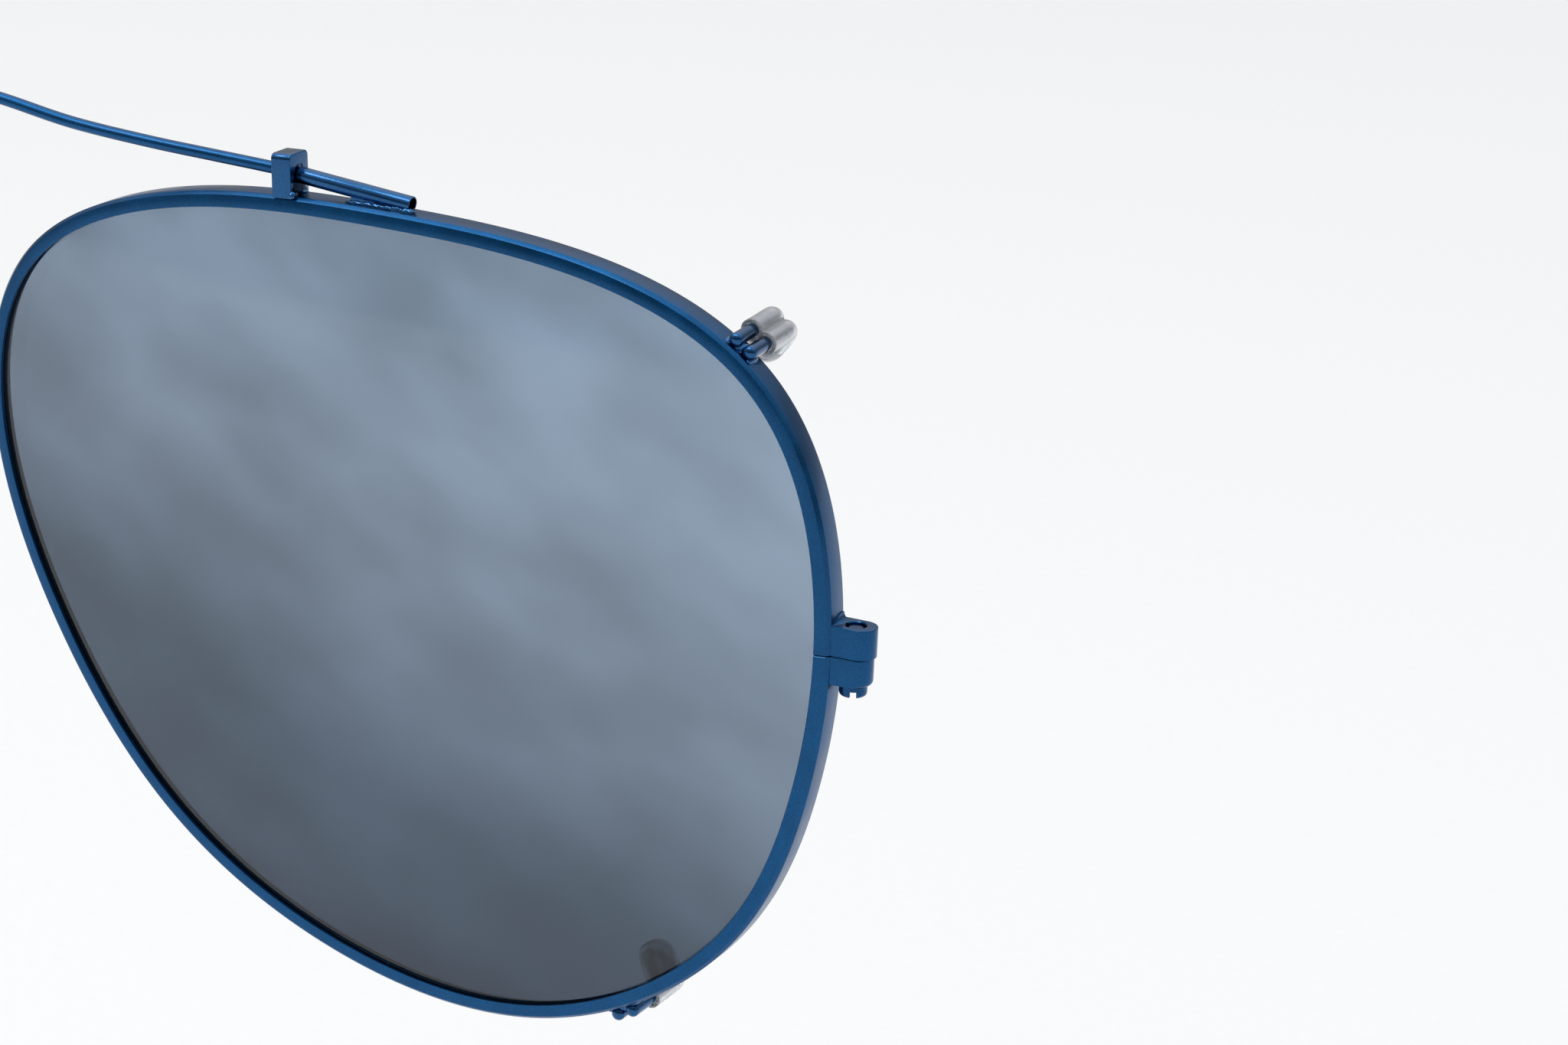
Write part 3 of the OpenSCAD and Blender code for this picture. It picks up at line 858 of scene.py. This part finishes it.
def add_bar():
    bm = bmesh.new()
    line = bar_line(14)
    shoulder = 0.06
    steps = 3
    path = list(line)
    radii = [BAR_D / 2] * len(path)
    for end, step in ((0, 1), (-1, -1)):
        ahead = (path[end + step] - path[end]).normalized()
        for k in range(steps):
            a = math.pi / 2 * (k + 1) / steps
            place = 0 if end == 0 else len(path)
            path.insert(place, line[end] - ahead * shoulder * math.sin(a) * 0.5)
            radii.insert(place, BAR_D / 2 - shoulder * (1 - math.cos(a)))
    capped(bm, wire_rings(path, radii, 32))
    tube_to = TUBE_FROM + TUBE_LONG * math.cos(HINGE_FALL)
    long = (tube_to - JOURNAL_FROM) / math.cos(HINGE_FALL) - RIVET_INSIDE
    profile = [
        (JOURNAL_D / 2, -0.3), (JOURNAL_D / 2, long - RIVET_LONG), (RIVET_D / 2 - 0.02, long - RIVET_LONG),
        (RIVET_D / 2, long - RIVET_LONG + 0.04), (RIVET_D / 2, long - 0.16),
        (RIVET_D / 2 - 0.05, long - 0.06),
        (RIVET_D / 2 - 0.16, long - 0.01), (0.04, long)
    ]
    for _, sign in SIDES:
        pin = bmesh.new()
        rows = spin(pin, [Vector(p) for p in profile], 48, along=False)
        pin.faces.new(rows[0])
        pin.faces.new(rows[-1])
        pin.transform(Matrix.Diagonal((sign, 1, 1, 1)) @ LENS_PLACE @ on_hinge(JOURNAL_FROM))
        mesh = bpy.data.meshes.new("pin")
        pin.to_mesh(mesh)
        pin.free()
        bm.from_mesh(mesh)
        bpy.data.meshes.remove(mesh)
    bmesh.ops.recalc_face_normals(bm, faces=bm.faces)
    mark_sharp(bm, 40)
    bm.transform(Matrix.Scale(MM, 4))
    add_piece("bar_wire", bm, "bar", ["bar_blue"], ["brow_bar"])


# ---- Camera, floor and light ----

VIEW_AZIMUTH, VIEW_ELEVATION = math.radians(31), math.radians(17)
VIEW_FROM = Vector((183.5, -198, 51.7)) * MM


def look(obj, place, direction):
    obj.location = place
    obj.rotation_euler = direction.to_track_quat("-Z", "Y").to_euler()
    bpy.context.scene.collection.objects.link(obj)


def add_camera():
    data = bpy.data.cameras.new("camera")
    data.lens, data.sensor_width = 100, 36
    data.clip_start, data.clip_end = 0.01, 50
    camera = bpy.data.objects.new("camera", data)
    level = math.cos(VIEW_ELEVATION)
    to_left, to_back = math.sin(VIEW_AZIMUTH) * level, math.cos(VIEW_AZIMUTH) * level
    ahead = Vector((-to_left, to_back, -math.sin(VIEW_ELEVATION)))
    look(camera, VIEW_FROM, ahead)
    bpy.context.scene.camera = camera


def add_floor():
    bm = bmesh.new()
    size, drop = 30.0, 0.12
    rows = 8
    places = [size * (i / rows - 0.5) for i in range(rows + 1)]
    grid = [[bm.verts.new((x, y, -drop)) for x in places] for y in places]
    for j in range(rows):
        for i in range(rows):
            bm.faces.new((grid[j][i], grid[j][i + 1], grid[j + 1][i + 1], grid[j + 1][i]))
    mesh = bpy.data.meshes.new("floor")
    bm.to_mesh(mesh)
    bm.free()
    mesh.materials.append(floor_paper())
    floor = bpy.data.objects.new("floor", mesh)
    bpy.context.scene.collection.objects.link(floor)


def add_softbox(name, direction, distance, width, height, power):
    data = bpy.data.lights.new(name, "AREA")
    data.shape = "RECTANGLE"
    data.size, data.size_y, data.energy = width, height, power
    light = bpy.data.objects.new(name, data)
    direction = Vector(direction).normalized()
    target = Vector((LENS_OUT, 0, -LENS_DOWN)) * MM
    look(light, target + direction * distance, -direction)


def add_world():
    """White studio: bright overhead, dim low behind the object and in front of it."""
    world = bpy.data.worlds.new("studio")
    world.use_nodes = True
    tree = world.node_tree
    bpy.context.scene.world = world
    way = node(tree, "ShaderNodeTexCoord").outputs["Generated"]
    height = node(tree, "ShaderNodeSeparateXYZ", {0: way}).outputs["Z"]
    overhead = mapped(tree, height, 0.3, 1.6, 0.25, 0.95)
    inputs = {0: way, 1: (0.35, -0.85, 0.3)}
    frontness = node(tree, "ShaderNodeVectorMath", inputs, operation="DOT_PRODUCT").outputs["Value"]
    dimmed = mapped(tree, frontness, 1.0, 0.45, 0.3, 0.9)
    background = tree.nodes["Background"]
    background.inputs["Color"].default_value = (0.98, 0.99, 1.0, 1)
    # seen straight on, low behind the floor's edge, the studio is as pale as the floor
    seen = node(tree, "ShaderNodeLightPath").outputs["Is Camera Ray"]
    lit = multiply(tree, overhead, dimmed)
    shown = node(tree, "ShaderNodeMix", {0: seen, 2: lit, 3: 0.88}).outputs[0]
    tree.links.new(shown, background.inputs["Strength"])


add_camera()
add_floor()
add_world()
add_softbox("overhead", (-0.06, -0.44, 0.9), 1.2, 0.44, 0.32, 2.6)
add_softbox("edge_light", (-0.49, -0.35, 0.8), 1.2, 0.28, 0.24, 1.6)

add_rims()
add_lenses()
add_blocks()
add_block_fillets()
add_screws()
add_straps()
add_tubes()
add_brackets()
add_solder()
for name, place in (("upper", UPPER_PRONG_AT), ("lower", LOWER_PRONG_AT)):
    add_prong(f"{name}_prong", place)
    add_sleeve(f"{name}_sleeve", place)
add_bar()

scene = bpy.context.scene
scene.view_settings.view_transform = "Standard"
